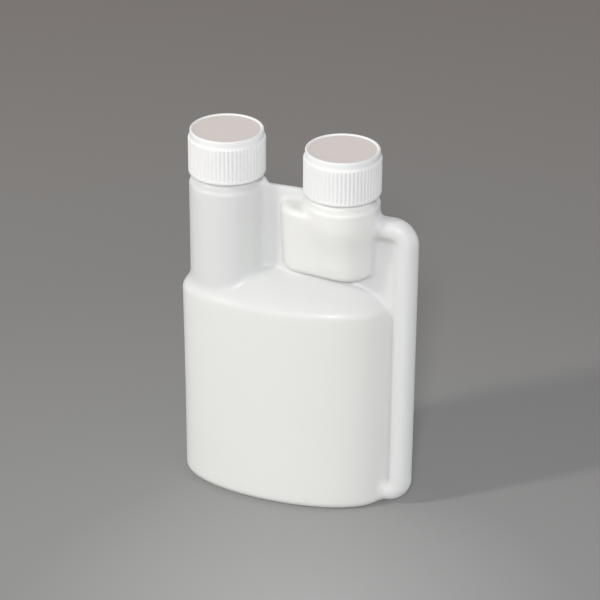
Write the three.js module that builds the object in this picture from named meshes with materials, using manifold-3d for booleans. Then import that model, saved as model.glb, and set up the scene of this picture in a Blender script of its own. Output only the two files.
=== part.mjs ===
// Twin-neck dosing bottle, about 250 ml: a blow-moulded reservoir with a tall filling neck, and a small dosing
// chamber with its own neck, fed by a bent tube when the reservoir is squeezed. Two ribbed screw caps close it.
// Millimetres, +Z up. The bottle stands on z = 0 with the middle of its outline over the origin, the tube is on
// the +X side and the face that shows the chamber's front looks along -Y.

import * as THREE from "three";
import { mergeVertices } from "three/addons/utils/BufferGeometryUtils.js";
import Module from "manifold-3d";

const wasm = await Module();
wasm.setup();

// Driving dimensions

const WALL = 1.0; // blown wall of the reservoir, column and chamber

const BODY = {
  length: 86.5, // along X
  depth: 38, // along Y
  power: 2.05, // superellipse exponent of the oval plan
  wallTop: 88, // height where the side wall ends and the shoulder starts
  footRadius: 3.6, // rounding between the side wall and the base
  edgeRadius: 4, // rounding between the side wall and the shoulder
  shoulderSlope: 48, // degrees, just inside that rounding
  crownSlope: 3, // degrees, beside the crown of the shoulder
  crownFlat: 3, // width of the flat along the crown
  standWidth: 4, // flat ring that the bottle stands on
  rampWidth: 3.5,
  pushUp: 2.2, // height of the hollow in the base
};

const NECK = {
  fromEnd: 18.9, // axis of the tall neck from the reservoir's end
  spacing: 47.7, // from the tall neck's axis to the dosing neck's
  columnRadius: 15.1, // blown column below each screw finish
  tallShoulder: 136.3, // height of the ledge at the top of the column
  dosingDrop: 1.6, // how much lower the dosing neck's ledge stands
  shoulderRadius: 2.2, // rounding of that ledge
  rootRadius: 12.65, // plain cylinder that the thread stands on
  rootFillet: 1.2,
  boreRadius: 10.8,
  finish: 17.3, // from the ledge to the rim
  rimChamfer: 0.6,
  flare: 3, // hollow fillet between the tall column and the shoulder
};

const CHAMBER = {
  fromAxis: 25.1, // from the dosing neck's axis to the chamber's far end
  endRadius: 6, // its narrow end
  radius: 14.8, // its wide end, round the neck's axis
  bottom: 104.5,
  underLedge: 3.4, // of its top under the ledge of the dosing neck
  bottomRadius: 4.5,
  topRadius: 3,
  neckFoot: 124, // height where the neck's own column runs out of the chamber's face
};

const TUBE = {
  fromBody: 2, // between the reservoir's end and its upright run
  radius: 4.55,
  wall: 0.9,
  bend: 6.2, // of its axis
  underLedge: 10.1, // of the upper run's axis under the ledge of the dosing neck
  clearance: 1.2, // of the lower run above the ground
};

const WEB = { thickness: 2.4, underLedge: 0.1 };

const THREAD = {
  pitch: 4.23, // 6 turns to the inch, single start, right hand
  depth: 1.05,
  baseWidth: 2.2,
  crestWidth: 1.0,
  turns: 1.5,
  capTurns: 1.25,
  fromRim: 1.9, // from the rim to the middle of the upper end
  root: 0.4, // how far each ridge is rooted in its wall
  fade: 30, // degrees over which each end runs out
  radialGap: 0.35,
  flankGap: 0.4,
};

const CAP = {
  height: 18,
  radius: 15.3, // over the ribs and the lip
  ribDepth: 0.3,
  ribs: 60,
  lip: 1.3, // plain ring at the open end
  bossRadius: 14.6, // smooth upper part above the ribs
  bossHeight: 3,
  stepHeight: 0.5, // sloping step between the ribs and the boss
  bossEdge: 0.9, // rounding of its outer edge
  rimWidth: 1.5, // raised ring round the sunk disc
  recess: 0.55,
  plate: 1.35, // thickness of the sunk disc
  ribFlat: 0.5, // share of a rib's pitch that its flat top fills
  seatDepth: 2.1, // plain bore that holds the liner
  seatStep: 0.5, // how much narrower that bore is than the one round the thread
  leadIn: 0.4,
};

const LINER = { thickness: 1.2, sideGap: 0.3 };
const SEAT_GAP = 0.3; // between the cap, its liner and the rim of the neck
const SUNK = 0.3; // how far a form is let into the one that it is joined to
const HAIR = 0.03; // keeps two faces from lying exactly on each other

// Faces round a neck or cap, round the reservoir and round the tube, and steps in a turn of thread
const ROUND = 40;
const OVAL_FACES = 56;
const TUBE_FACES = 16;
const CHAMBER_FACES = { wide: 22, narrow: 8 };
const THREAD_STEPS = 24;

const HALVINGS = 40;

// Places that follow from them

const tubeFromEnd = BODY.length + TUBE.fromBody + TUBE.radius;
const width = tubeFromEnd + TUBE.radius;
const fromEnd = (distance) => distance - width / 2;
const bodyX = fromEnd(BODY.length / 2);
const tallX = fromEnd(NECK.fromEnd);
const dosingX = tallX + NECK.spacing;
const tubeX = fromEnd(tubeFromEnd);
const chamberEndX = dosingX - CHAMBER.fromAxis + CHAMBER.endRadius;
const dosingShoulder = NECK.tallShoulder - NECK.dosingDrop;
const chamberTop = dosingShoulder - CHAMBER.underLedge;
const tubeTop = dosingShoulder - TUBE.underLedge;
const webTop = NECK.tallShoulder - WEB.underLedge;
const tubeFoot = TUBE.radius + TUBE.clearance;
const threadCrest = NECK.rootRadius + THREAD.depth;
const capBore = threadCrest + THREAD.radialGap;
const linerSeat = capBore - CAP.seatStep;
const capFloor = CAP.height - CAP.recess - CAP.plate; // underside of the cap's disc, from its lip
const linerBottom = capFloor - SEAT_GAP - LINER.thickness;
const rimInCap = linerBottom - SEAT_GAP; // the neck's rim, from the cap's lip
const rad = THREE.MathUtils.degToRad;

// Closed geometry

// A closed body through rings of equal length, each counter-clockwise about the way the rings run.
function loft(rings) {
  const count = rings[0].length;
  const points = rings.flat();
  const faces = [];
  for (let ring = 0; ring + 1 < rings.length; ring++) {
    for (let k = 0; k < count; k++) {
      const a = ring * count + k;
      const b = ring * count + ((k + 1) % count);
      faces.push(a, b, b + count, a, b + count, a + count);
    }
  }
  const last = (rings.length - 1) * count;
  for (let k = 1; k + 1 < count; k++) {
    faces.push(0, k + 1, k, last, last + k, last + k + 1);
  }
  const geometry = new THREE.BufferGeometry().setFromPoints(points);
  geometry.setIndex(faces);
  return geometry;
}

// A solid of revolution about Z from a profile of [radius, height] pairs that starts and ends on the axis.
function turned(profile) {
  const points = profile.map(([radius, height]) => new THREE.Vector2(radius, height));
  return new THREE.LatheGeometry(points, ROUND).rotateX(Math.PI / 2);
}

// Points of an arc about a centre, from one angle to another in degrees, both ends included.
function arc(x, y, radius, start, end, steps) {
  return Array.from({ length: steps + 1 }, (_, k) => {
    const angle = rad(start + ((end - start) * k) / steps);
    return [x + radius * Math.cos(angle), y + radius * Math.sin(angle)];
  });
}

function solid(geometry) {
  const bare = geometry.clone();
  bare.deleteAttribute("normal");
  bare.deleteAttribute("uv");
  const merged = mergeVertices(bare, 1e-4);
  return new wasm.Manifold(
    new wasm.Mesh({
      numProp: 3,
      vertProperties: new Float32Array(merged.attributes.position.array),
      triVerts: new Uint32Array(merged.index.array),
    }),
  );
}

const join = (geometries) => geometries.map(solid).reduce((whole, next) => whole.add(next));

function meshOf(manifold, name, material) {
  const { vertProperties, triVerts } = manifold.getMesh();
  const geometry = new THREE.BufferGeometry();
  geometry.setAttribute("position", new THREE.BufferAttribute(vertProperties, 3));
  geometry.setIndex(new THREE.BufferAttribute(triVerts, 1));
  geometry.computeVertexNormals();
  const mesh = new THREE.Mesh(geometry, material);
  mesh.name = name;
  return mesh;
}

// Reservoir

const halfLength = BODY.length / 2;
const halfDepth = BODY.depth / 2;

// Where the rounded edge of the shoulder hands over to its slope: distance in from the side wall, and height.
const edgeTurn = rad(90 - BODY.shoulderSlope);
const edgeInset = BODY.edgeRadius * (1 - Math.cos(edgeTurn));
const edgeTop = BODY.wallTop + BODY.edgeRadius * Math.sin(edgeTurn);
const crownInset = halfDepth - BODY.crownFlat / 2;

// Height of the shoulder at a distance in from the side wall.
function shoulderHeight(inset) {
  if (inset < edgeInset) {
    const across = BODY.edgeRadius - Math.max(inset, 0);
    return BODY.wallTop + Math.sqrt(BODY.edgeRadius ** 2 - across ** 2);
  }
  const run = Math.min(inset, crownInset) - edgeInset;
  const startSlope = Math.tan(rad(BODY.shoulderSlope));
  const endSlope = Math.tan(rad(BODY.crownSlope));
  const bend = (startSlope - endSlope) / (crownInset - edgeInset);
  return edgeTop + startSlope * run - (bend * run ** 2) / 2;
}

// The oval plan, drawn in by a distance, as a ring at a height.
function ovalRing(inset, height) {
  return Array.from({ length: OVAL_FACES }, (_, k) => {
    const angle = (2 * Math.PI * k) / OVAL_FACES;
    const reach = (value) => Math.sign(value) * Math.abs(value) ** (2 / BODY.power);
    return new THREE.Vector3(
      bodyX + (halfLength - inset) * reach(Math.cos(angle)),
      (halfDepth - inset) * reach(Math.sin(angle)),
      height,
    );
  });
}

// How far a point of the plan lies in from the side wall, by halving.
function insetAt(x, y) {
  let low = -halfDepth;
  let high = halfDepth - 1e-3;
  for (let step = 0; step < HALVINGS; step++) {
    const inset = (low + high) / 2;
    const level =
      Math.abs((x - bodyX) / (halfLength - inset)) ** BODY.power +
      Math.abs(y / (halfDepth - inset)) ** BODY.power;
    if (level > 1) high = inset;
    else low = inset;
  }
  return low;
}

// Half a section as [inset, height] pairs, from the middle of the base, out, up and in to the crown.
function bodyProfile() {
  const standInner = BODY.footRadius + BODY.standWidth;
  const slopeSteps = 5;
  const slope = Array.from({ length: slopeSteps }, (_, k) => {
    const inset = edgeInset + ((crownInset - edgeInset) * (k + 1)) / slopeSteps;
    return [inset, shoulderHeight(inset)];
  });
  return [
    [standInner + BODY.rampWidth, BODY.pushUp],
    [standInner, 0],
    ...arc(BODY.footRadius, BODY.footRadius, BODY.footRadius, 270, 180, 3),
    ...arc(BODY.edgeRadius, BODY.wallTop, BODY.edgeRadius, 180, 90 + BODY.shoulderSlope, 3),
    ...slope,
  ];
}

// The same section moved inwards by a wall, each point along its own normal.
function insideOf(profile, wall) {
  return profile.map(([inset, height], k) => {
    const before = profile[Math.max(k - 1, 0)];
    const after = profile[Math.min(k + 1, profile.length - 1)];
    const run = after[0] - before[0];
    const rise = after[1] - before[1];
    const length = Math.hypot(run, rise);
    return [inset + (wall * rise) / length, height - (wall * run) / length];
  });
}

const bodyShell = (profile) => loft(profile.map(([inset, height]) => ovalRing(inset, height)));

// The hollow fillet at the foot of the tall column, which follows the shoulder and stays inside the plan.
function columnFlare() {
  const spoke = (angle, radius) => [tallX + radius * Math.cos(angle), radius * Math.sin(angle)];
  const angles = Array.from({ length: ROUND }, (_, k) => (2 * Math.PI * k) / ROUND);
  const reach = angles.map((angle) => {
    let low = NECK.columnRadius;
    let high = NECK.columnRadius + NECK.flare;
    if (insetAt(...spoke(angle, high)) > SUNK) return high;
    for (let step = 0; step < HALVINGS; step++) {
      const middle = (low + high) / 2;
      if (insetAt(...spoke(angle, middle)) > SUNK) low = middle;
      else high = middle;
    }
    return low;
  });
  const ground = (angle, radius) => shoulderHeight(insetAt(...spoke(angle, radius)));
  const ring = (turn) =>
    angles.map((angle, k) => {
      const top = ground(angle, NECK.columnRadius) + NECK.flare;
      const foot = ground(angle, reach[k]) - SUNK;
      const radius = NECK.columnRadius + (reach[k] - NECK.columnRadius) * (1 - Math.cos(turn));
      const height = top - (top - foot) * Math.sin(turn);
      return new THREE.Vector3(...spoke(angle, radius - HAIR), height);
    });
  const buried = angles.map(
    (angle) => new THREE.Vector3(...spoke(angle, NECK.columnRadius - SUNK), BODY.wallTop - SUNK),
  );
  const turns = [90, 60, 30, 0].map(rad);
  return loft([buried, ...turns.map(ring)]);
}

// Necks

const rimOf = (shoulder) => shoulder + NECK.finish;

// The blown column and the screw finish above it, as one outer form.
function neckOutside(x, foot, shoulder) {
  const { columnRadius, shoulderRadius, rootRadius, rootFillet, rimChamfer } = NECK;
  return turned([
    [0, foot],
    [columnRadius, foot],
    ...arc(columnRadius - shoulderRadius, shoulder - shoulderRadius, shoulderRadius, 0, 90, 3),
    ...arc(rootRadius + rootFillet, shoulder + rootFillet, rootFillet, 270, 180, 2),
    [rootRadius, rimOf(shoulder) - rimChamfer],
    [rootRadius - rimChamfer, rimOf(shoulder)],
    [0, rimOf(shoulder)],
  ]).translate(x, 0, 0);
}

// The hollow of the same column, which narrows to the bore under the finish.
function neckInside(x, foot, shoulder) {
  const { columnRadius, shoulderRadius, boreRadius } = NECK;
  const radius = columnRadius - WALL;
  return turned([
    [0, foot],
    [radius, foot],
    [radius, shoulder - shoulderRadius - WALL],
    [boreRadius + WALL, shoulder - WALL],
    [boreRadius, shoulder],
    [boreRadius, rimOf(shoulder) + WALL],
    [0, rimOf(shoulder) + WALL],
  ]).translate(x, 0, 0);
}

// A thread ridge on a wall, outwards (side 1) or inwards (side -1), whose upper end is at a height.
function threadRidge(wallRadius, side, turns, upperEnd) {
  const steps = Math.round(turns * THREAD_STEPS);
  const fadeSteps = (THREAD.fade / 360) * (steps / turns);
  const stations = Array.from({ length: steps + 1 }, (_, k) => {
    const angle = 2 * Math.PI * turns * (k / steps);
    const middle = upperEnd - THREAD.pitch * turns * (1 - k / steps);
    const full = Math.min(1, k / fadeSteps, (steps - k) / fadeSteps);
    const crest = THREAD.depth * full - (THREAD.root / 2) * (1 - full);
    const corners = [
      [-THREAD.root, THREAD.baseWidth / 2],
      [crest, THREAD.crestWidth / 2],
      [crest, -THREAD.crestWidth / 2],
      [-THREAD.root, -THREAD.baseWidth / 2],
    ];
    const ring = corners.map(([out, up]) => {
      const radius = wallRadius + side * out;
      return new THREE.Vector3(radius * Math.cos(angle), radius * Math.sin(angle), middle + up);
    });
    return side > 0 ? ring : ring.reverse();
  });
  return loft(stations);
}

function neckThread(x, shoulder) {
  const upperEnd = rimOf(shoulder) - THREAD.fromRim;
  return threadRidge(NECK.rootRadius, 1, THREAD.turns, upperEnd).translate(x, 0, 0);
}

// Dosing chamber

// Its plan is two circles, a narrow end and a wide one round the neck's axis, with tangents between them.
function chamberRing(inset, height) {
  const spread = dosingX - chamberEndX;
  const tangent = 90 + THREE.MathUtils.radToDeg(Math.asin((CHAMBER.radius - CHAMBER.endRadius) / spread));
  return [
    ...arc(dosingX, 0, CHAMBER.radius - inset, -tangent, tangent, CHAMBER_FACES.wide),
    ...arc(chamberEndX, 0, CHAMBER.endRadius - inset, tangent, 360 - tangent, CHAMBER_FACES.narrow),
  ].map(([x, y]) => new THREE.Vector3(x, y, height));
}

function chamberShell(wall) {
  const low = CHAMBER.bottomRadius;
  const high = CHAMBER.topRadius;
  const profile = [
    ...arc(low, CHAMBER.bottom + low, low - wall, 270, 180, 3),
    ...arc(high, chamberTop - high, high - wall, 180, 90, 2),
  ];
  return loft(profile.map(([inset, height]) => chamberRing(inset, height)));
}

// Transfer tube: out of the chamber's side, down beside the reservoir and into its foot

function tubeSweep(radius) {
  const stations = [
    [dosingX + CHAMBER.radius / 2, tubeTop, 0],
    ...bendStations(tubeTop - TUBE.bend, 90),
    ...bendStations(tubeFoot + TUBE.bend, 0),
    [bodyX + halfLength - BODY.footRadius - BODY.standWidth, tubeFoot, -180],
  ];
  const rings = stations.map(([x, z, heading]) => {
    const across = new THREE.Vector3(-Math.sin(rad(heading)), 0, Math.cos(rad(heading)));
    return Array.from({ length: TUBE_FACES }, (_, k) => {
      const angle = (2 * Math.PI * k) / TUBE_FACES;
      const level = new THREE.Vector3(x, radius * Math.cos(angle), z);
      return level.addScaledVector(across, radius * Math.sin(angle));
    });
  });
  return loft(rings);
}

// Middle points and headings of the tube through a quarter bend that starts at an angle about its centre.
function bendStations(centreHeight, start) {
  const steps = 5;
  return arc(tubeX - TUBE.bend, centreHeight, TUBE.bend, start, start - 90, steps).map(([x, z], k) => {
    return [x, z, start - 90 - (90 * k) / steps];
  });
}

// Webs: the flat walls pinched together between the column, the chamber, the tube and the reservoir

function webPlate() {
  const chamberSide = dosingX - NECK.rootRadius + SUNK;
  const bendX = tubeX - TUBE.bend;
  const outline = new THREE.Shape(
    [
      [tallX, webTop],
      [chamberSide, webTop],
      [chamberSide, tubeTop],
      [bendX, tubeTop],
      [tubeX, tubeTop - TUBE.bend],
      [tubeX, tubeFoot + TUBE.bend],
      [bendX, tubeFoot],
      [bodyX + halfLength - BODY.footRadius, tubeFoot],
      [bodyX + halfLength - BODY.footRadius, BODY.wallTop],
      [tallX, BODY.wallTop],
    ].map(([x, z]) => new THREE.Vector2(x, z)),
  );
  return new THREE.ExtrudeGeometry(outline, { depth: WEB.thickness, bevelEnabled: false })
    .rotateX(Math.PI / 2)
    .translate(0, WEB.thickness / 2, 0);
}

// The bottle is its outer form less the same form drawn in by the wall, so every hollow opens into the next.
function bottle() {
  const profile = bodyProfile();
  const columnFoot = BODY.wallTop - 3 * WALL;
  const outside = join([
    bodyShell(profile),
    columnFlare(),
    neckOutside(tallX, columnFoot + WALL, NECK.tallShoulder),
    neckThread(tallX, NECK.tallShoulder),
    chamberShell(0),
    neckOutside(dosingX, CHAMBER.neckFoot, dosingShoulder),
    neckThread(dosingX, dosingShoulder),
    tubeSweep(TUBE.radius),
    webPlate(),
  ]);
  const hollow = join([
    bodyShell(insideOf(profile, WALL)),
    neckInside(tallX, columnFoot, NECK.tallShoulder),
    chamberShell(WALL),
    neckInside(dosingX, CHAMBER.neckFoot + WALL, dosingShoulder),
    tubeSweep(TUBE.radius - TUBE.wall),
  ]);
  return outside.subtract(hollow);
}

// Screw caps

// The ring of upright ribs, as a toothed outline with its own hole.
function ribBand() {
  const pitch = 360 / CAP.ribs;
  const valley = CAP.radius - CAP.ribDepth;
  const corners = [
    [-CAP.ribFlat / 2, CAP.radius],
    [CAP.ribFlat / 2, CAP.radius],
    [1 / 2, valley],
  ];
  const outline = Array.from({ length: CAP.ribs }, (_, rib) =>
    corners.map(([share, radius]) => {
      const angle = rad((rib + share) * pitch);
      return new THREE.Vector2(radius * Math.cos(angle), radius * Math.sin(angle));
    }),
  ).flat();
  const shape = new THREE.Shape(outline);
  const hole = arc(0, 0, (capBore + valley) / 2, 0, 360, ROUND).slice(1);
  shape.holes.push(new THREE.Path(hole.map(([x, y]) => new THREE.Vector2(x, y))));
  const height = CAP.height - CAP.bossHeight - CAP.stepHeight - CAP.lip;
  return new THREE.ExtrudeGeometry(shape, { depth: height, bevelEnabled: false }).translate(0, 0, CAP.lip);
}

// The cap from its lip at z = 0 up: lip, ribbed skirt, step, smooth boss and the raised ring round the disc.
function cap() {
  const skirt = CAP.radius - CAP.ribDepth;
  const ribTop = CAP.height - CAP.bossHeight - CAP.stepHeight;
  const seatFoot = capFloor - CAP.seatDepth;
  const sunk = CAP.bossRadius - CAP.rimWidth;
  const shell = turned([
    [0, capFloor],
    [linerSeat, capFloor],
    [linerSeat, seatFoot],
    [capBore, seatFoot - (capBore - linerSeat)],
    [capBore, CAP.leadIn],
    [capBore + CAP.leadIn, 0],
    [CAP.radius - CAP.leadIn / 2, 0],
    [CAP.radius, CAP.leadIn / 2],
    [CAP.radius, CAP.lip],
    [skirt, CAP.lip],
    [skirt, ribTop],
    [CAP.bossRadius, ribTop + CAP.stepHeight],
    ...arc(CAP.bossRadius - CAP.bossEdge, CAP.height - CAP.bossEdge, CAP.bossEdge, 0, 90, 3),
    [sunk, CAP.height],
    [sunk - CAP.recess / 2, CAP.height - CAP.recess],
    [0, CAP.height - CAP.recess],
  ]);
  const flankDrop = (THREAD.baseWidth + THREAD.crestWidth) / 2 + THREAD.flankGap;
  const thread = threadRidge(capBore, -1, THREAD.capTurns, 0);
  const turnBetween = 2 * Math.PI * (THREAD.turns - THREAD.capTurns);
  const upperEnd = rimInCap - THREAD.fromRim - flankDrop;
  thread.rotateZ(turnBetween).translate(0, 0, upperEnd);
  return join([shell, ribBand(), thread]);
}

function liner() {
  const radius = linerSeat - LINER.sideGap;
  return solid(
    turned([
      [0, 0],
      [radius, 0],
      [radius, LINER.thickness],
      [0, LINER.thickness],
    ]),
  );
}

// Materials and the assembly

const naturalPolyethylene = new THREE.MeshStandardMaterial({ color: 0xe4e5e0, roughness: 0.42, metalness: 0 });
const whitePolypropylene = new THREE.MeshStandardMaterial({ color: 0xf3f3f1, roughness: 0.38, metalness: 0 });
const whiteFoam = new THREE.MeshStandardMaterial({ color: 0xeeeeea, roughness: 0.8, metalness: 0 });

// A cap and its liner, seated on the neck at x.
function closure(name, x, shoulder) {
  const group = new THREE.Group();
  group.position.set(x, 0, rimOf(shoulder) - rimInCap);
  const disc = meshOf(liner(), name + "_liner", whiteFoam);
  disc.position.z = linerBottom;
  group.add(meshOf(cap(), name, whitePolypropylene), disc);
  return group;
}

const dosingBottle = new THREE.Group();
dosingBottle.add(
  meshOf(bottle(), "bottle", naturalPolyethylene),
  closure("reservoir_cap", tallX, NECK.tallShoulder),
  closure("dosing_cap", dosingX, dosingShoulder),
);

export default dosingBottle;
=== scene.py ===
# %% [markdown]
# # A twin-neck dosing bottle
#
# The object is a small bottle that measures its own dose. Its body, its two necks, the little chamber under the
# second neck and the bent tube down the side are one piece of milky polyethylene, blown like a bubble inside a
# mould. Squeezing the body pushes liquid down into the foot of the tube, up its side and over into the chamber.
# Two white screw caps with fine ribs close the necks, and each holds a thin disc of foam that seals on the rim.
#
# The shape comes first, then the finishes, then the floor, the light and the camera. The measured model of the
# bottle is loaded as a frame, and each smooth piece made here stands in the place of one of its faceted solids.

# %% Load the measured frame
import math

import bmesh
import bpy
import numpy as np
import openvdb
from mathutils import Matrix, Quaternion, Vector


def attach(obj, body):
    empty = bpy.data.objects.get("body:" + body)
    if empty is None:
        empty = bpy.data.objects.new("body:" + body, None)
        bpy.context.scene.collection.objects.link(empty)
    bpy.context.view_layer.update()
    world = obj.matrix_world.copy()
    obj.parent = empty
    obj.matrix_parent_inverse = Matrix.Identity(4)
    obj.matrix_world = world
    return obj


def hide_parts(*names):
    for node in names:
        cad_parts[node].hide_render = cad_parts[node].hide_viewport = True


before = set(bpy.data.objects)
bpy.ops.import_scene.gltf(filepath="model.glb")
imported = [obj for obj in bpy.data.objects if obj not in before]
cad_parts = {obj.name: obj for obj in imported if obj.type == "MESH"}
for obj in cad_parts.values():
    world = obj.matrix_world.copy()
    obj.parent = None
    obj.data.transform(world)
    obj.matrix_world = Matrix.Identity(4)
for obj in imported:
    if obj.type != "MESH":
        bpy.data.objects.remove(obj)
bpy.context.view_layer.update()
print("frame nodes:", sorted(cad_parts))

# %% [markdown]
# ## The sizes
#
# Every form of the bottle is given by a few numbers, the ones that a mould maker would write on the drawing. They
# are in millimetres, with the ground at zero height and the middle of the outline over the origin. The tube is on
# the right, and the front of the chamber faces the reader. The reservoir is an oval whose plan lies between an
# ellipse and a rounded box, which a superellipse describes with one exponent.

# %% Sizes of the bottle
MM = 0.001
WALL = 1.0
BODY_X, HALF_LENGTH, HALF_DEPTH, OVAL_POWER = -5.55, 43.25, 19.0, 2.05
WALL_TOP, FOOT_ROUND, EDGE_ROUND = 88.0, 3.6, 4.0
TALL_X, DOSING_X = -29.9, 17.8
COLUMN_RADIUS, TALL_LEDGE, DOSING_LEDGE, LEDGE_ROUND = 15.1, 136.3, 134.7, 2.2
FINISH, FINISH_RADIUS, BORE_RADIUS = 17.3, 12.65, 10.8
CHAMBER_BOTTOM, CHAMBER_TOP, CHAMBER_EDGE = 102.9, 131.3, 3.0
TUBE_X, TUBE_RADIUS, TUBE_WALL, TUBE_BEND, TUBE_TOP, TUBE_FOOT = 44.7, 4.55, 0.9, 6.2, 124.6, 5.75
WEB_THICKNESS, WEB_TOP, WEB_EDGE = 2.4, 136.2, 1.0
# Widths over which the forms flow into each other, on the outside and in the hollow
COLUMN_FILLET, CHAMBER_FILLET, NECK_FILLET, TUBE_FILLET, WEB_FILLET = 2.6, 6.0, 1.6, 2.5, 2.5
HOLLOW_COLUMN_FILLET, HOLLOW_NECK_FILLET, HOLLOW_TUBE_FILLET = 1.8, 1.0, 1.5
print("height over the rims:", TALL_LEDGE + FINISH, "and", DOSING_LEDGE + FINISH)

# %% [markdown]
# ## Drawing with distances
#
# A blown bottle has no sharp inside corners: where a neck meets a shoulder the wall flows from one into the other.
# Such a form could be modelled by hand with subdivision surfaces, but the cage around a tube, a web and two necks
# becomes hard to keep even. Here each simple form is a rule that gives, for any point in space, how far the point
# lies outside it, with minus signs inside. Two such rules melt together by taking the lesser one with a soft
# hand-over, which makes the fillet of a chosen size by itself.
#
# Most of the forms are turned or swept sections, so the first helper measures the distance to a section drawn as
# a closed outline. It does that once on a fine table, and later only reads the table, which is quick.

# %% Distance to a drawn section
def section_distance(outline, grain=0.2, margin=8.0):
    """Signed distance to a closed outline of [across, up] points, as a function of any two arrays."""
    points = np.array(outline, float)
    low = points.min(axis=0) - margin
    counts = np.ceil((points.max(axis=0) + margin - low) / grain).astype(int) + 1
    across = low[0] + grain * np.arange(counts[0])[:, None]
    up = low[1] + grain * np.arange(counts[1])[None, :]
    nearest = np.full((counts[0], counts[1]), 1e9)
    inside = np.zeros(nearest.shape, bool)
    for (a0, u0), (a1, u1) in zip(points, np.roll(points, -1, axis=0)):
        run, rise = a1 - a0, u1 - u0
        length = max(run * run + rise * rise, 1e-12)
        along = np.clip(((across - a0) * run + (up - u0) * rise) / length, 0, 1)
        nearest = np.minimum(nearest, np.hypot(across - a0 - along * run, up - u0 - along * rise))
        if u0 != u1:
            crosses = (u0 > up) != (u1 > up)
            inside ^= crosses & (across < a0 + (up - u0) * run / rise)
    table = np.where(inside, -nearest, nearest)

    def read(a, u):
        i = np.clip((a - low[0]) / grain, 0, counts[0] - 1.001)
        j = np.clip((u - low[1]) / grain, 0, counts[1] - 1.001)
        i, j = np.broadcast_arrays(i, j)
        i0, j0 = i.astype(int), j.astype(int)
        s, t = i - i0, j - j0
        lower = table[i0, j0] * (1 - s) + table[i0 + 1, j0] * s
        upper = table[i0, j0 + 1] * (1 - s) + table[i0 + 1, j0 + 1] * s
        return lower * (1 - t) + upper * t

    return read


def arc(centre_across, centre_up, radius, start, end, steps=10):
    """Points of an arc, from one angle to another in degrees."""
    angles = np.radians(np.linspace(start, end, steps + 1))
    return [[centre_across + radius * math.cos(a), centre_up + radius * math.sin(a)] for a in angles]


def melt(first, second, blend):
    """Two forms joined, with the inner corner between them filled over about the given width."""
    share = np.clip(0.5 + 0.5 * (second - first) / blend, 0, 1)
    return second + (first - second) * share - blend * share * (1 - share)


def shared(first, second, blend):
    """The space that two forms share, with its outer corner rounded."""
    return -melt(-first, -second, blend)


# %% [markdown]
# ## The reservoir
#
# The reservoir is one section carried round the oval: a stand ring with the middle of the base pushed up so that
# the bottle can't rock, a rounded foot, a straight wall, a rounded edge, and a shoulder that starts steep and
# flattens towards its crown. The section is drawn against the distance in from the side wall. The helper finds
# this distance by halving: it draws the oval in or lets it out, each time by half as much, until the oval passes
# through the point. Towards the shoulder the oval's left half fills out, because it has to carry the tall column,
# so the distance leans from the foot's oval to the shoulder's.

# %% Reservoir
SHOULDER_END, SHOULDER_POWER = 42.4, 2.75


def inset(x, y, left_end, left_power):
    """How far a point of the plan lies in from an oval's wall. The left half has its own length and power."""
    x, y = np.broadcast_arrays(x - BODY_X, np.abs(y))
    half_length = np.where(x < 0, left_end, HALF_LENGTH)
    power = np.where(x < 0, left_power, OVAL_POWER)
    x = np.abs(x)
    low = np.full(x.shape, -30.0)
    high = np.full(x.shape, HALF_DEPTH - 1e-3)
    for _ in range(34):
        middle = (low + high) / 2
        level = (x / (half_length - middle)) ** power + (y / (HALF_DEPTH - middle)) ** power
        outside = level > 1
        high = np.where(outside, middle, high)
        low = np.where(outside, low, middle)
    return (low + high) / 2


def wall_inset(x, y, z):
    """How far a point lies in from the reservoir's wall, measured level."""
    foot = inset(x, y, HALF_LENGTH, OVAL_POWER)
    shoulder = inset(x, y, SHOULDER_END, SHOULDER_POWER)
    return foot + (shoulder - foot) * np.clip(z / WALL_TOP, 0, 1)


def shoulder_line(steps=24):
    """The shoulder from its rounded edge to the crown, a curve whose slope falls evenly from 48 to 3 degrees."""
    steep, flat = math.radians(48), math.radians(3)
    start_in = EDGE_ROUND * (1 - math.cos(math.pi / 2 - steep))
    start_up = WALL_TOP + EDGE_ROUND * math.sin(math.pi / 2 - steep)
    width = HALF_DEPTH - 1.5 - start_in
    run = np.linspace(0, width, steps + 1)
    rise = math.tan(steep) * run - (math.tan(steep) - math.tan(flat)) * run**2 / (2 * width)
    return [[start_in + r, start_up + u] for r, u in zip(run, rise)]


def reservoir_section():
    base = [[40, 2.2], [11.6, 2.2], [10.4, 1.9], [8.6, 0.5], [7.2, 0.0]]
    foot = arc(FOOT_ROUND, FOOT_ROUND, FOOT_ROUND, 270, 180)
    edge = arc(EDGE_ROUND, WALL_TOP, EDGE_ROUND, 180, 138)
    shoulder = shoulder_line()
    return base + foot + edge + shoulder[1:] + [[40, shoulder[-1][1]]]


reservoir_distance = section_distance(reservoir_section())
print("crown of the shoulder at", round(shoulder_line()[-1][1], 1), "mm")

# %% [markdown]
# ## The necks
#
# Both necks are turned forms about upright axes. Each is a plain blown column with a rounded ledge at the top, and
# on it stands the screw finish, a narrower and thicker cylinder. Outside and hollow differ, because the finish is
# squeezed to a fixed bore while the column keeps the thin blown wall, so each has its own section. The section
# runs past the axis on one side and past the rim at the top, where the mesh is cut to a clean edge later. The
# dosing neck's column is drawn in towards its foot, along a soft double curve, until it is lost in the chamber.

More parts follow.
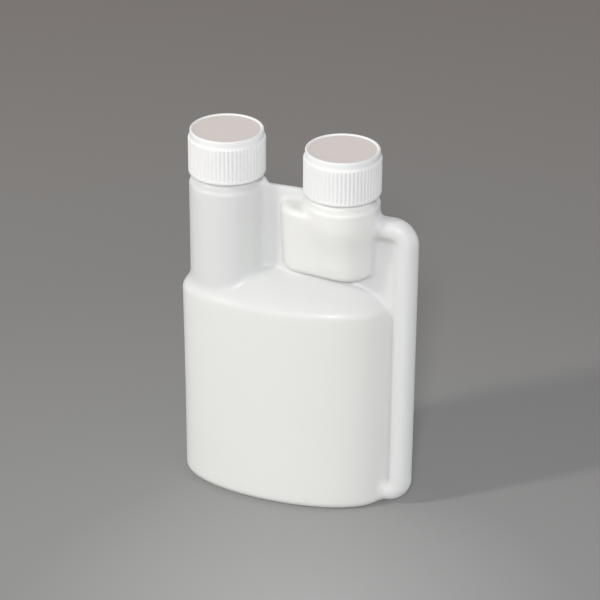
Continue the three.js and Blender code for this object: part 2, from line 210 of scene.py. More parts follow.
# %% Necks
def neck_section(foot, ledge, wall, finish_radius, drawn_in, taper):
    """Half a neck as [radius, height], drawn in at its foot over the taper. A wall of zero gives the outside."""
    radius = COLUMN_RADIUS - wall
    top = ledge - wall
    corner = LEDGE_ROUND - wall / 2
    root = 1.2
    past_axis, past_rim, buried = -30, 3, 4
    spread = [[radius - drawn_in * (1 - s * s * (3 - 2 * s)), foot + taper * s] for s in np.linspace(0, 1, 13)]
    return (
        [[past_axis, foot - buried], [radius - drawn_in - 2, foot - buried]]
        + spread
        + arc(radius - corner, top - corner, corner, 0, 90)
        + arc(finish_radius + root, top + root, root, 270, 180)
        + [[finish_radius, ledge + FINISH + past_rim], [past_axis, ledge + FINISH + past_rim]]
    )


NECK_PARTS = {}
for side, centre, ledge, foot in (
    ("tall", TALL_X, TALL_LEDGE, (84.0, 0.0, 1.0)),
    ("dosing", DOSING_X, DOSING_LEDGE, (109.0, 3.3, 18.5)),
):
    height, drawn_in, taper = foot
    for face, wall, finish_radius in (("outside", 0, FINISH_RADIUS), ("hollow", WALL, BORE_RADIUS)):
        section = neck_section(height, ledge, wall, finish_radius, drawn_in, taper)
        NECK_PARTS[side, face] = (centre, section_distance(section))


def neck(side, face, x, y, z):
    centre, distance = NECK_PARTS[side, face]
    return distance(np.hypot(x - centre, y), z)


print("neck sections:", len(NECK_PARTS))

# %% [markdown]
# ## The dosing chamber
#
# Seen from above the chamber is a teardrop: a wide end round the axis of its neck, and a narrower end that reaches
# towards the tall column. Its sides spread upwards, so that the neck's column, which is wider still, runs out of
# them without a step. The distance to two circles and their tangents has a short exact rule, and here the circles
# change with height. The section over that plan is a low box with rounded edges.

# %% Chamber
# Radius of the narrow end, its distance from the neck's axis, radius of the wide end, its distance to the right
CHAMBER_LOW = (9.0, 14.4, 11.3, 2.1)
CHAMBER_HIGH = (11.8, 12.9, 14.2, 0.0)


def chamber_inset(x, y, z):
    """How far a point lies in from the chamber's side, measured level."""
    share = np.clip((z - CHAMBER_BOTTOM) / (CHAMBER_TOP - CHAMBER_BOTTOM), 0, 1)
    end_radius, end, radius, ahead = (a + (b - a) * share for a, b in zip(CHAMBER_LOW, CHAMBER_HIGH))
    along, across, spread = DOSING_X + ahead - x, np.abs(y), end + ahead
    lean = (radius - end_radius) / spread
    upright = np.sqrt(1 - lean**2)
    place = along * upright - across * lean
    wide = np.hypot(along, across) - radius
    narrow = np.hypot(along - spread, across) - end_radius
    flank = along * lean + across * upright - radius
    return -np.where(place < 0, wide, np.where(place > spread * upright, narrow, flank))


def chamber_section():
    return (
        [[40, CHAMBER_BOTTOM]]
        + arc(CHAMBER_EDGE, CHAMBER_BOTTOM + CHAMBER_EDGE, CHAMBER_EDGE, 270, 180)
        + arc(CHAMBER_EDGE, CHAMBER_TOP - CHAMBER_EDGE, CHAMBER_EDGE, 180, 90)
        + [[40, CHAMBER_TOP]]
    )


chamber_distance = section_distance(chamber_section())
print("chamber:", CHAMBER_TOP - CHAMBER_BOTTOM, "mm high")

# %% [markdown]
# ## The transfer tube and the webs
#
# The tube is a round pipe along a line that lies in the parting plane: out of the chamber, round a bend, straight
# down beside the reservoir, round another bend and into its foot. Between the columns, under the chamber and
# beside the tube the two halves of the mould pinch the soft wall flat, which leaves thin webs. A web is a plate
# cut to an outline. It is a little more than twice as thick as the blown wall, because two walls are welded in it.

# %% Tube and webs
BEND_X = TUBE_X - TUBE_BEND
TUBE_START_X = DOSING_X + COLUMN_RADIUS / 2
TUBE_END_X = BODY_X + HALF_LENGTH - 7.6


def tube_line_distance(x, z):
    """Distance from the tube's middle line within the parting plane."""
    upper = np.hypot(x - np.clip(x, TUBE_START_X, BEND_X), z - TUBE_TOP)
    lower = np.hypot(x - np.clip(x, TUBE_END_X, BEND_X), z - TUBE_FOOT)
    upright = np.hypot(x - TUBE_X, z - np.clip(z, TUBE_FOOT + TUBE_BEND, TUBE_TOP - TUBE_BEND))
    nearest = np.minimum(np.minimum(upper, lower), upright)
    for centre, way in ((TUBE_TOP - TUBE_BEND, 1), (TUBE_FOOT + TUBE_BEND, -1)):
        across, up = x - BEND_X, (z - centre) * way
        bend = np.abs(np.hypot(across, up) - TUBE_BEND)
        nearest = np.where((across > 0) & (up > 0), np.minimum(nearest, bend), nearest)
    return nearest


def web_outline():
    body_end = BODY_X + HALF_LENGTH - FOOT_ROUND
    neck_side = DOSING_X - FINISH_RADIUS + 0.3
    flash = [[-15.6, WEB_TOP], [-14.9, 138.3], [-14.1, 138.6], [-13.2, 137.0], [-12.4, WEB_TOP]]
    return (
        [[TALL_X, WEB_TOP]]
        + flash
        + [[neck_side, WEB_TOP], [neck_side, TUBE_TOP]]
        + arc(BEND_X, TUBE_TOP - TUBE_BEND, TUBE_BEND, 90, 0)
        + arc(BEND_X, TUBE_FOOT + TUBE_BEND, TUBE_BEND, 0, -90)
        + [[body_end, TUBE_FOOT], [body_end, WALL_TOP], [TALL_X, WALL_TOP]]
    )


web_distance = section_distance(web_outline())
print("tube line ends at x", round(TUBE_END_X, 1), "mm, inside the reservoir's foot")

# %% [markdown]
# ## One wall from many forms
#
# The outside of the bottle melts all the forms into one, each join with a fillet of its own. The hollow is made
# the same way from the same forms drawn in by the wall, without the webs, so every cavity opens into the next as
# it does in the real bottle. Between the two lies the wall.

# %% Outside and hollow of the bottle
def outside(x, y, z):
    shape = reservoir_distance(wall_inset(x, y, z), z)
    shape = melt(shape, neck("tall", "outside", x, y, z), COLUMN_FILLET)
    chamber = chamber_distance(chamber_inset(x, y, z), z)
    chamber = melt(chamber, neck("dosing", "outside", x, y, z), NECK_FILLET)
    shape = melt(shape, chamber, CHAMBER_FILLET)
    tube = np.hypot(tube_line_distance(x, z), y) - TUBE_RADIUS
    shape = melt(shape, tube, TUBE_FILLET)
    web = shared(web_distance(x, z), np.abs(y) - WEB_THICKNESS / 2 + 0 * x, WEB_EDGE)
    return melt(shape, web, WEB_FILLET)


def hollow(x, y, z):
    shape = reservoir_distance(wall_inset(x, y, z), z) + WALL
    shape = melt(shape, neck("tall", "hollow", x, y, z), HOLLOW_COLUMN_FILLET)
    chamber = chamber_distance(chamber_inset(x, y, z), z) + WALL
    chamber = melt(chamber, neck("dosing", "hollow", x, y, z), HOLLOW_NECK_FILLET)
    tube = np.hypot(tube_line_distance(x, z), y) - TUBE_RADIUS + TUBE_WALL
    return melt(np.minimum(shape, chamber), tube, HOLLOW_TUBE_FILLET)


# %% [markdown]
# ## From the rules to a mesh
#
# The rules are measured on a regular grid, and a volume tool walks through it and lays four-sided faces where the
# distance passes zero. Its corners sit only roughly on the surface, so each is then moved along the rule's own
# slope until the distance is nil, which gives a clean skin even with a coarse grid. The outside gets a finer grid
# than the hollow, which is seen only as a glow through the milky wall.

# %% Skin from a distance rule
def skin(rule, grain, low, high):
    """Corners and four-sided faces of the surface where a rule is nil, in millimetres."""
    axes = [np.arange(low[k], high[k] + grain, grain) for k in range(3)]
    field = rule(axes[0][:, None, None], axes[1][None, :, None], axes[2][None, None, :])
    grid = openvdb.FloatGrid(10.0)
    grid.copyFromArray(np.clip(field, -10, 10).astype(np.float32))
    corners, faces = grid.convertToQuads(0.0)
    points = np.array(low) + corners.astype(float) * grain
    reach = 0.02
    for _ in range(4):
        value = rule(points[:, 0], points[:, 1], points[:, 2])
        slope = np.empty_like(points)
        for k in range(3):
            ahead, behind = points.copy(), points.copy()
            ahead[:, k] += reach
            behind[:, k] -= reach
            slope[:, k] = (rule(*ahead.T) - rule(*behind.T)) / (2 * reach)
        size = np.maximum((slope**2).sum(axis=1), 0.2)
        step = -(value / size)[:, None] * slope
        points += np.clip(step, -grain / 3, grain / 3)
    points[:, 2] = np.maximum(points[:, 2], 0)
    return points, faces


BOX_LOW, BOX_HIGH = (-52.0, -22.0, -3.0), (52.0, 22.0, 156.0)
outer_points, outer_faces = skin(outside, 0.9, BOX_LOW, BOX_HIGH)
inner_points, inner_faces = skin(hollow, 1.4, BOX_LOW, BOX_HIGH)
print("outside:", len(outer_faces), "faces, hollow:", len(inner_faces), "faces")

# %% [markdown]
# Both skins run on past the rims. Each neck is cut flat at its own rim height, and the ring of the outside is
# joined to the ring of the hollow, which closes the wall into one solid skin with a real thickness at the mouth.

# %% Cut the rims and close the wall
def new_object(name, work, body):
    """A finished mesh as a piece of the object: smooth-shaded and riding on a body."""
    mesh = bpy.data.meshes.new(name)
    work.to_mesh(mesh)
    work.free()
    mesh.polygons.foreach_set("use_smooth", [True] * len(mesh.polygons))
    piece = bpy.data.objects.new(name, mesh)
    bpy.context.scene.collection.objects.link(piece)
    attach(piece, body)
    return piece


def add_skin(work, points, faces, inward):
    corners = [work.verts.new(Vector(p) * MM) for p in points]
    for face in faces:
        order = face[::-1] if inward else face
        work.faces.new([corners[k] for k in order])


def cut_rim(work, centre, rim):
    """Cuts off all that stands above a rim near one neck, and bridges the two rings that this leaves."""
    near = [v for v in work.verts if abs(v.co.x / MM - centre) < 14 and v.co.z / MM > rim - 4]
    faces = {f for v in near for f in v.link_faces}
    edges = {e for f in faces for e in f.edges}
    corners = {v for f in faces for v in f.verts}
    bmesh.ops.bisect_plane(
        work,
        geom=list(corners) + list(edges) + list(faces),
        plane_co=(0, 0, rim * MM),
        plane_no=(0, 0, 1),
        clear_outer=True,
    )
    ring = [
        e
        for e in work.edges
        if e.is_boundary and all(abs(v.co.z - rim * MM) < 1e-6 and abs(v.co.x / MM - centre) < 14 for v in e.verts)
    ]
    bmesh.ops.bridge_loops(work, edges=ring)


work = bmesh.new()
add_skin(work, outer_points, outer_faces, False)
add_skin(work, inner_points, inner_faces, True)
for centre, ledge in ((TALL_X, TALL_LEDGE), (DOSING_X, DOSING_LEDGE)):
    cut_rim(work, centre, ledge + FINISH)
open_edges = sum(1 for e in work.edges if not e.is_manifold)
print("bottle wall:", len(work.faces), "faces,", open_edges, "open edges")

# %% [markdown]
# ## Threads
#
# A screw thread is a ridge that climbs one pitch in each turn. The one on the neck stands outwards and the one in
# the cap stands inwards, with the same pitch, so that one runs in the other's groove. The ridge is swept: a small
# section with rounded crest is carried along the helix, and it sinks back into the wall at both ends, as it does
# where the thread runs out. Its root is let into the wall, so it reads as one piece with it.

# %% Thread ridges
PITCH = 4.23
THREAD_BELOW_RIM, THREAD_LOWER_IN_CAP = 1.9, 2.0
RIDGE = [(-0.4, 1.1), (0.0, 1.02), (0.55, 0.74), (0.95, 0.52), (1.05, 0.3)]


def add_thread(work, centre, wall_radius, side, turns, upper_end, start_turn, steps=72):
    """A ridge from start_turn, in turns, that ends at a height. Side 1 stands outwards and -1 inwards."""
    section = RIDGE + [(out, -up) for out, up in reversed(RIDGE)]
    count = round(turns * steps)
    rings = []
    for k in range(count + 1):
        angle = 2 * math.pi * (start_turn + turns * k / count)
        height = upper_end - PITCH * turns * (1 - k / count)
        full = min(1, 12 * k / steps, 12 * (count - k) / steps)
        ring = []
        for out, up in section:
            radius = wall_radius + side * (out * full - 0.3 * (1 - full))
            place = (centre + radius * math.cos(angle), radius * math.sin(angle), height + up * (0.6 + 0.4 * full))
            ring.append(work.verts.new(Vector(place) * MM))
        rings.append(ring if side > 0 else ring[::-1])
    size = len(section)
    for a, b in zip(rings, rings[1:]):
        for k in range(size):
            work.faces.new([a[k], a[(k + 1) % size], b[(k + 1) % size], b[k]])
    work.faces.new(rings[0][::-1])
    work.faces.new(rings[-1])


for centre, ledge in ((TALL_X, TALL_LEDGE), (DOSING_X, DOSING_LEDGE)):
    add_thread(work, centre, FINISH_RADIUS, 1, 1.5, ledge + FINISH - THREAD_BELOW_RIM, 0.0)
bottle = new_object("blown_bottle", work, "bottle_body")
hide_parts("bottle")
bottle.data.calc_loop_triangles()
print("bottle with threads:", len(bottle.data.loop_triangles), "triangles")

# %% [markdown]
# ## The caps
#
# Each cap is a moulded cup. From its open end up it has a plain lip, a band of fine upright ribs for the fingers,
# a small step, and a smooth boss with a raised bead round a flat sunken disc. It is a turned form, except for the
# ribs, so it is built as rings of points whose radius is pulled in at each groove. How deep the grooves are at
# each height is written beside the section: full in the band, and fading at both of its ends, which gives each rib
# the rounded end that a mould leaves.

# %% Cap
CAP_HEIGHT, CAP_RADIUS, RIBS, RIB_DEPTH = 18.0, 15.3, 60, 0.28
CAP_BORE, LINER_SEAT, CAP_FLOOR = 14.05, 13.55, 16.1
RIM_IN_CAP = 14.3
BOSS_RADIUS, BEAD, DISC_SINK = 14.6, 0.6, 0.55
AROUND = RIBS * 8


def ungrooved(points):
    return [(radius, height, 0.0) for radius, height in points]


def cap_section():
    """The cap's section from the middle of its inside, round its lip and up to the middle of its top, as
    (radius, height, groove depth)."""
    inside = [(0.0, CAP_FLOOR), (6.0, CAP_FLOOR), (LINER_SEAT - 0.3, CAP_FLOOR), (LINER_SEAT, CAP_FLOOR - 0.3)]
    inside += [(LINER_SEAT, 14.2), (CAP_BORE, 13.6), (CAP_BORE, 7.0), (CAP_BORE, 0.5), (CAP_BORE + 0.35, 0.05)]
    lip = [(CAP_BORE + 0.5, 0.0), (CAP_RADIUS - 0.35, 0.0), (CAP_RADIUS - 0.1, 0.1), (CAP_RADIUS, 0.35)]
    lip += [(CAP_RADIUS, 1.0)]
    band = [(CAP_RADIUS, h, g) for h, g in ((1.2, 0.25), (1.5, 0.85), (2.0, 1.0), (8.0, 1.0), (14.0, 1.0))]
    band += [(CAP_RADIUS, 14.3, 0.9), (CAP_RADIUS - 0.08, 14.55, 0.6), (CAP_RADIUS - 0.32, 14.8, 0.15)]
    step = [(BOSS_RADIUS + 0.06, 15.0), (BOSS_RADIUS, 15.3), (BOSS_RADIUS, 16.2)]
    bead = arc(BOSS_RADIUS - BEAD, CAP_HEIGHT - BEAD, BEAD, 0, 90, 5) + [(13.85, CAP_HEIGHT - 0.03)]
    disc = [(13.68, CAP_HEIGHT - 0.15), (13.58, CAP_HEIGHT - 0.36), (13.42, CAP_HEIGHT - 0.52)]
    disc += [(radius, CAP_HEIGHT - DISC_SINK) for radius in (13.1, 8.0, 0.0)]
    return ungrooved(inside + lip) + band + ungrooved(step + bead + disc)


def groove(turn):
    """One at the bottom of each groove between two ribs and nought on the rib's flat."""
    return (0.5 + 0.5 * np.cos(2 * math.pi * RIBS * turn)) ** 2.0


def add_turned(work, centre, base, section, around):
    """A closed turned form. The section starts and ends on the axis."""
    turn = np.arange(around) / around
    wave = groove(turn)
    rings = []
    for radius, height, depth in section:
        if radius == 0:
            rings.append([work.verts.new(Vector((centre, 0, base + height)) * MM)])
            continue
        reach = radius - RIB_DEPTH * depth * wave
        points = zip(centre + reach * np.cos(2 * math.pi * turn), reach * np.sin(2 * math.pi * turn))
        rings.append([work.verts.new(Vector((x, y, base + height)) * MM) for x, y in points])
    for low, high in zip(rings, rings[1:]):
        for k in range(around):
            n = (k + 1) % around
            if len(low) == 1:
                work.faces.new([low[0], high[n], high[k]])
            elif len(high) == 1:
                work.faces.new([low[k], low[n], high[0]])
            else:
                work.faces.new([low[k], low[n], high[n], high[k]])


def make_cap(name, centre, ledge, body, node):
    work = bmesh.new()
    base = ledge + FINISH - RIM_IN_CAP
    add_turned(work, centre, base, cap_section(), AROUND)
    upper_end = base + RIM_IN_CAP - THREAD_BELOW_RIM - THREAD_LOWER_IN_CAP
    add_thread(work, centre, CAP_BORE, -1, 1.25, upper_end, 0.25)
    cap = new_object(name, work, body)
    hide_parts(node)
    return cap


reservoir_cap = make_cap("ribbed_reservoir_cap", TALL_X, TALL_LEDGE, "reservoir_cap_shell", "reservoir_cap")
dosing_cap = make_cap("ribbed_dosing_cap", DOSING_X, DOSING_LEDGE, "dosing_cap_shell", "dosing_cap")
print("faces in a cap:", len(dosing_cap.data.polygons))

# %% [markdown]
# ## The liners
#
# A disc of foamed plastic is pressed into the top of each cap. It can be seen only when the cap is off. It is a
# thin turned form with softly rounded edges, and a shallow ring where the rim of the neck has marked it.

# %% Liner
LINER_RADIUS, LINER_THICKNESS, LINER_GAP = 13.25, 1.2, 0.3


def make_liner(name, centre, ledge, body, node):
    work = bmesh.new()
    base = ledge + FINISH + LINER_GAP
    radius, thickness = LINER_RADIUS, LINER_THICKNESS
    under = [(0.0, 0.0), (9.8, 0.0), (10.7, 0.07), (12.7, 0.07), (12.95, 0.0)]
    rim = [(radius - 0.08, 0.05), (radius, 0.25), (radius, thickness - 0.25), (radius - 0.08, thickness - 0.05)]
    top = [(radius - 0.3, thickness), (6.0, thickness), (0.0, thickness)]
    add_turned(work, centre, base, ungrooved(under + rim + top), 120)
    liner = new_object(name, work, body)
    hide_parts(node)
    return liner


reservoir_liner = make_liner(
    "foam_reservoir_liner", TALL_X, TALL_LEDGE, "reservoir_cap_seal", "reservoir_cap_liner"
)
dosing_liner = make_liner("foam_dosing_liner", DOSING_X, DOSING_LEDGE, "dosing_cap_seal", "dosing_cap_liner")
print("liners:", reservoir_liner.name, dosing_liner.name)

# %% [markdown]
# ## Finishes
#
# A finish is a small network of nodes. The helpers below make the parts that every moulded plastic here needs: the
# place on the object in its own space, a cloud of noise at a given size in millimetres, a soft step, and a colour
# that leans between two tints.

# %% Node helpers
class Finish:
    """A material whose nodes are added one by one."""

    def __init__(self, name):
        self.material = bpy.data.materials.new(name)
        self.material.use_nodes = True
        self.nodes = self.material.node_tree.nodes
        self.links = self.material.node_tree.links
        self.nodes.clear()
        self.place = self.add("ShaderNodeTexCoord").outputs["Object"]
        split = self.add("ShaderNodeSeparateXYZ")
        self.links.new(self.place, split.inputs[0])
        self.x, self.y, self.z = split.outputs

    def add(self, kind, **settings):
        node = self.nodes.new(kind)
        for key, value in settings.items():
            setattr(node, key, value)
        return node

    def feed(self, socket, source):
        if hasattr(source, "is_linked"):
            self.links.new(source, socket)
        else:
            socket.default_value = source

    def noise(self, size_mm, detail=3.0, stretch=(1, 1, 1)):
        """A cloud of noise with blotches of about the given size, from nought to one."""
        scaled = self.add("ShaderNodeMapping")
        self.feed(scaled.inputs["Vector"], self.place)
        scaled.inputs["Scale"].default_value = stretch
        cloud = self.add("ShaderNodeTexNoise")
        self.feed(cloud.inputs["Vector"], scaled.outputs[0])
        cloud.inputs["Scale"].default_value = 1 / (size_mm * MM)
        cloud.inputs["Detail"].default_value = detail
        return cloud.outputs["Fac"]

    def span(self, source, from_low, from_high, to_low, to_high, smooth=True):
        """A value carried from one span to another, and held at the ends."""
        node = self.add("ShaderNodeMapRange", interpolation_type="SMOOTHSTEP" if smooth else "LINEAR")
        self.feed(node.inputs["Value"], source)
        for socket, value in zip(node.inputs[1:5], (from_low, from_high, to_low, to_high)):
            socket.default_value = value
        return node.outputs[0]

    def combine(self, a, b, operation="ADD"):
        """The outcome of a sum, a product or the like of two values."""
        node = self.add("ShaderNodeMath", operation=operation)
        self.feed(node.inputs[0], a)
        self.feed(node.inputs[1], b)
        return node.outputs[0]

    def tint(self, share, low, high):
        """A colour between two, by a share."""
        node = self.add("ShaderNodeMix", data_type="RGBA")
        self.feed(node.inputs["Factor"], share)
        self.feed(node.inputs["A"], low if hasattr(low, "is_linked") else (*low, 1))
        self.feed(node.inputs["B"], high if hasattr(high, "is_linked") else (*high, 1))
        return node.outputs["Result"]

    def bump(self, height, depth_mm, under=None):
        """Fine relief of a given depth, laid over any relief that is already there."""
        node = self.add("ShaderNodeBump")
        node.inputs["Strength"].default_value = 1.0
        node.inputs["Distance"].default_value = depth_mm * MM
        self.feed(node.inputs["Height"], height)
        if under is not None:
            self.feed(node.inputs["Normal"], under)
        return node.outputs[0]

    def finish(self, shader, *pieces):
        """Closes the network with its shader and puts the material on the pieces."""
        end = self.add("ShaderNodeOutputMaterial")
        self.links.new(shader, end.inputs["Surface"])
        for piece in pieces:
            piece.data.materials.clear()
            piece.data.materials.append(self.material)


print("finish helpers ready")

# %% [markdown]
# ### Milky polyethylene
#
# Natural polyethylene is neither clear nor white: light goes into the wall, scatters, and comes out on both sides,
# so a hollow bottle glows from within and its edges look soft. Subsurface scattering is made for solid lumps such
# as wax. For a thin wall around an empty space a mix of two simple shaders is closer: one that reflects light
# diffusely with a soft gloss, and one that lets diffuse light through. At the chamber and the reservoir the wall
# is thicker: it lets less light through and looks a little warmer than at the column, the tube and the webs. Blow
# moulding leaves a very slight waviness, and a fine line where the halves of the mould met.

# %% Bottle finish
blown = Finish("milky_polyethylene")
cloud = blown.noise(34, 2.0, (1, 1, 0.6))
fine_cloud = blown.noise(5, 3.0)
from_seam = blown.combine(blown.y, 0.0, "ABSOLUTE")
# The chamber without the web beside it, and the reservoir up to its shoulder without the tube
in_chamber = blown.combine(
    blown.combine(blown.span(blown.x, -0.009, -0.007, 0, 1), blown.span(blown.x, 0.031, 0.034, 1, 0), "MULTIPLY"),
    blown.combine(blown.span(blown.z, 0.099, 0.104, 0, 1), blown.span(from_seam, 0.001, 0.005, 0, 1), "MULTIPLY"),
    "MULTIPLY",
)
below_shoulder, left_of_tube = blown.span(blown.z, 0.086, 0.094, 1, 0), blown.span(blown.x, 0.037, 0.039, 1, 0)
in_body = blown.combine(below_shoulder, left_of_tube, "MULTIPLY")
thick = blown.combine(in_chamber, in_body, "MAXIMUM")
mottle = blown.combine(blown.span(cloud, 0.3, 0.7, 0.0, 0.7), blown.span(fine_cloud, 0.3, 0.7, 0.0, 0.3))
thin_colour = blown.tint(mottle, (0.925, 0.936, 0.932), (0.930, 0.941, 0.939))
thick_colour = blown.tint(mottle, (0.940, 0.940, 0.913), (0.946, 0.946, 0.920))
wall_colour = blown.tint(thick, thin_colour, thick_colour)
glow_colour = blown.tint(mottle, (0.952, 0.957, 0.942), (0.957, 0.962, 0.948))
less_light = blown.combine(
    blown.combine(in_chamber, 0.20, "MULTIPLY"), blown.combine(in_body, 0.13, "MULTIPLY")
)
let_through = blown.combine(0.34, less_light, "SUBTRACT")

seam = blown.span(from_seam, 0.00012, 0.00045, 1.0, 0.0)
relief = blown.bump(blown.noise(16, 1.0, (1, 1, 0.5)), 0.06)
relief = blown.bump(blown.noise(1.6, 2.0), 0.012, relief)
relief = blown.bump(seam, 0.1, relief)
sheen_break = blown.span(blown.noise(9, 3.0), 0.3, 0.7, 0.285, 0.35)

front = blown.add("ShaderNodeBsdfPrincipled")
blown.feed(front.inputs["Base Color"], wall_colour)
blown.feed(front.inputs["Roughness"], sheen_break)
blown.feed(front.inputs["Normal"], relief)
front.inputs["IOR"].default_value = 1.5
front.inputs["Specular IOR Level"].default_value = 0.5

through = blown.add("ShaderNodeBsdfTranslucent")
blown.feed(through.inputs["Color"], glow_colour)
blown.feed(through.inputs["Normal"], relief)

thin_wall = blown.add("ShaderNodeMixShader")
blown.feed(thin_wall.inputs[0], let_through)
blown.links.new(front.outputs[0], thin_wall.inputs[1])
blown.links.new(through.outputs[0], thin_wall.inputs[2])
blown.finish(thin_wall.outputs[0], bottle)
print("bottle finish nodes:", len(blown.nodes))

# %% [markdown]
# ### White polypropylene
#
# The caps are opaque white, with a soft gloss on the ribs. The sunken disc has a fine matt grain from the mould,
# so it takes no highlight. Its colour is pinker than the ribs, and darker as painted shade, which stands in for
# the weak light that falls on the flat top from overhead. It is found by its height and by its facing straight up,
# so one finish serves the whole cap.

# %% Cap finish
def cap_finish(name, top_height, piece):
    white = Finish(name)
    speck = white.noise(3, 3.0)
    drift = white.noise(14, 2.0)
    lean = white.combine(white.span(drift, 0.3, 0.7, 0.0, 0.75), white.span(speck, 0.3, 0.7, 0.0, 0.25))
    skirt = white.tint(lean, (0.845, 0.85, 0.855), (0.885, 0.885, 0.88))
    split = white.add("ShaderNodeSeparateXYZ")
    white.feed(split.inputs[0], white.add("ShaderNodeNewGeometry").outputs["Normal"])
    level = white.span(split.outputs["Z"], 0.97, 0.999, 0.0, 1.0)
    low_part = white.span(white.z, (top_height - 0.3) * MM, (top_height - 0.45) * MM, 0.0, 1.0)
    matt_disc_painted_shade = white.combine(level, low_part, "MULTIPLY")
    # The disc's colour: pinker than the skirt by its own tint, and darker as painted shade for the weak light from
    # overhead.
    colour = white.add("ShaderNodeMix", data_type="RGBA")
    white.feed(colour.inputs["Factor"], matt_disc_painted_shade)
    white.feed(colour.inputs["A"], skirt)
    white.feed(colour.inputs["B"], (0.785, 0.708, 0.682, 1))
    relief = white.bump(white.noise(0.35, 2.0), 0.012)
    relief = white.bump(drift, 0.05, relief)
    shader = white.add("ShaderNodeBsdfPrincipled")
    white.feed(shader.inputs["Base Color"], colour.outputs["Result"])
    roughness = white.combine(white.span(speck, 0.3, 0.7, 0.36, 0.44), white.span(matt_disc_painted_shade, 0, 1, 0, 0.2))
    white.feed(shader.inputs["Roughness"], roughness)
    white.feed(shader.inputs["Normal"], relief)
    shader.inputs["IOR"].default_value = 1.49
    white.finish(shader.outputs[0], piece)


ABOVE_LEDGE = FINISH - RIM_IN_CAP + CAP_HEIGHT
cap_finish("white_polypropylene_left", TALL_LEDGE + ABOVE_LEDGE, reservoir_cap)
cap_finish("white_polypropylene_right", DOSING_LEDGE + ABOVE_LEDGE, dosing_cap)
print("cap finishes:", len(bpy.data.materials))

# %% [markdown]
# ### Foam
#
# The liner's foam is closed under a thin skin, with small cells that show as a fine pebbled texture. A cell noise
# gives the pebbles and a cloud gives the unevenness of colour.

# %% Liner finish
foam = Finish("liner_foam")
cells = foam.add("ShaderNodeTexVoronoi")
foam.feed(cells.inputs["Vector"], foam.place)
cells.inputs["Scale"].default_value = 1 / (0.45 * MM)
foam_colour = foam.tint(foam.span(foam.noise(6), 0.3, 0.7, 0.0, 1.0), (0.80, 0.80, 0.775), (0.87, 0.87, 0.85))
foam_shader = foam.add("ShaderNodeBsdfPrincipled")
foam.feed(foam_shader.inputs["Base Color"], foam_colour)
foam.feed(foam_shader.inputs["Roughness"], foam.span(foam.noise(2), 0.3, 0.7, 0.62, 0.8))
foam.feed(foam_shader.inputs["Normal"], foam.bump(cells.outputs["Distance"], 0.06))
foam.finish(foam_shader.outputs[0], reservoir_liner, dosing_liner)
print("foam cells of 0.45 mm")

# %% [markdown]
# ## Floor and light
#
# The photograph was taken on a plain sheet in a studio. The light on the sheet is brightest in front of the bottle
# and falls off to a darker, slightly warm grey behind it. This fall of light is painted into the floor's colour,
# as a painted pool of light in rings round a bright spot a little in front of the bottle. Two soft lamps, both
# about thirty degrees up, give the two small highlights on each shoulder: one well round to the left, which also
# throws the long shadow to the right, and one a little to the right of the front. The room adds a cool light,
# strong from the sides and weak from overhead.

# %% Floor
# Where the painted pool of light on the floor is centred, a little towards the camera, in metres.
VIEW_TURN, PAINTED_LIGHT_SPOT = math.radians(18.98), -0.10
away = Vector((-math.sin(VIEW_TURN), math.cos(VIEW_TURN), 0))
floor_mesh = bpy.data.meshes.new("floor")
floor_mesh.from_pydata([(-4, -4, 0), (4, -4, 0), (4, 4, 0), (-4, 4, 0)], [], [(0, 1, 2, 3)])
floor = bpy.data.objects.new("floor", floor_mesh)
bpy.context.scene.collection.objects.link(floor)

sheet = Finish("studio_sheet_painted_light")
reach = sheet.add("ShaderNodeVectorMath", operation="DISTANCE")
sheet.feed(reach.inputs[0], sheet.place)
reach.inputs[1].default_value = away * PAINTED_LIGHT_SPOT
painted_light_fall = sheet.add("ShaderNodeValToRGB")
sheet.feed(painted_light_fall.inputs[0], sheet.span(reach.outputs["Value"], 0.0, 0.7, 0.0, 1.0, smooth=False))
# Painted pool of light: the floor's colour darkens and warms with distance from the bright spot.
painted_light_stops = [
    (0.0, (0.49, 0.49, 0.49)),
    (0.16, (0.335, 0.334, 0.333)),
    (0.42, (0.295, 0.286, 0.280)),
    (1.0, (0.285, 0.256, 0.238)),
]
while len(painted_light_fall.color_ramp.elements) < len(painted_light_stops):
    painted_light_fall.color_ramp.elements.new(0.5)
for element, (place, colour) in zip(painted_light_fall.color_ramp.elements, painted_light_stops):
    element.position = place
    element.color = (*colour, 1)
sheet_shader = sheet.add("ShaderNodeBsdfPrincipled")
sheet.feed(sheet_shader.inputs["Base Color"], painted_light_fall.outputs[0])
sheet_shader.inputs["Roughness"].default_value = 0.9
sheet_shader.inputs["Specular IOR Level"].default_value = 0.2
sheet.finish(sheet_shader.outputs[0], floor)
print("floor laid")

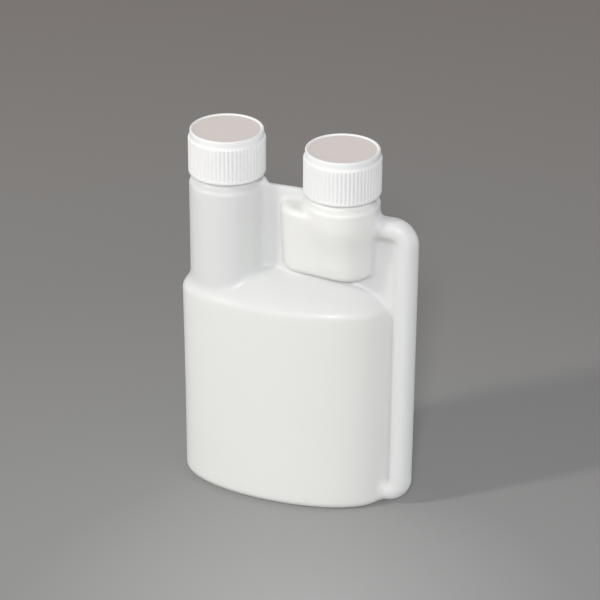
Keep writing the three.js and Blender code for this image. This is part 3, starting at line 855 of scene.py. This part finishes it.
# %% Lamps and the room's light
def soft_lamp(name, turn, lift, distance, size, power, colour):
    """A square soft lamp that looks at the bottle, turn degrees round from the front and lift degrees up."""
    a, e = math.radians(turn), math.radians(lift)
    way = Vector((math.sin(a) * math.cos(e), -math.cos(a) * math.cos(e), math.sin(e)))
    data = bpy.data.lights.new(name, "AREA")
    data.size = size
    data.energy = power
    data.color = colour
    lamp = bpy.data.objects.new(name, data)
    lamp.location = Vector((0, 0, 0.08)) + way * distance
    lamp.rotation_euler = (-way).to_track_quat("-Z", "Y").to_euler()
    bpy.context.scene.collection.objects.link(lamp)


soft_lamp("left_lamp", -49, 31, 1.5, 0.14, 7.0, (1.0, 0.975, 0.93))
soft_lamp("front_lamp", 16, 33, 1.6, 0.16, 9.5, (1.0, 0.995, 0.985))

world = bpy.data.worlds.new("room")
bpy.context.scene.world = world
world.use_nodes = True
room = world.node_tree.nodes["Background"]
nodes, links = world.node_tree.nodes, world.node_tree.links
ways = nodes.new("ShaderNodeTexCoord")
split = nodes.new("ShaderNodeSeparateXYZ")
walls = nodes.new("ShaderNodeMapRange")
links.new(ways.outputs["Generated"], split.inputs[0])
links.new(split.outputs["Z"], walls.inputs["Value"])
for socket, value in zip(walls.inputs[1:5], (0.1, 0.9, 1.18, 0.15)):
    socket.default_value = value
links.new(walls.outputs[0], room.inputs["Strength"])
room.inputs["Color"].default_value = (0.97, 0.98, 1.0, 1)
bpy.context.scene.view_settings.view_transform = "Standard"
print("two lamps and a pale room")

# %% [markdown]
# ## Camera
#
# The camera stands a little to the right of the front and looks down at about 28 degrees through a long lens. Its
# place was found by fitting the outlines of the caps, the columns and the tube to those in the photograph, and it
# is rolled by a third of a degree.

# %% Camera
eye = Vector((261.60, -758.60, 509.53)) * MM
target = Vector((-1.76, 7.14, 82.72)) * MM
lens = bpy.data.cameras.new("camera")
lens.sensor_width = 36
lens.lens = 135.83
lens.clip_start = 0.01
camera = bpy.data.objects.new("camera", lens)
camera.location = eye
look = (target - eye).to_track_quat("-Z", "Y") @ Quaternion((0, 0, 1), math.radians(0.32))
camera.rotation_mode = "QUATERNION"
camera.rotation_quaternion = look
bpy.context.scene.collection.objects.link(camera)
bpy.context.scene.camera = camera
print("camera distance:", round((target - eye).length, 3), "m")

# %% [markdown]
# ## At the end
#
# Every piece rides on a body of the frame, and the last call brings the scene up to date.

# %% Finish
bpy.context.view_layer.update()
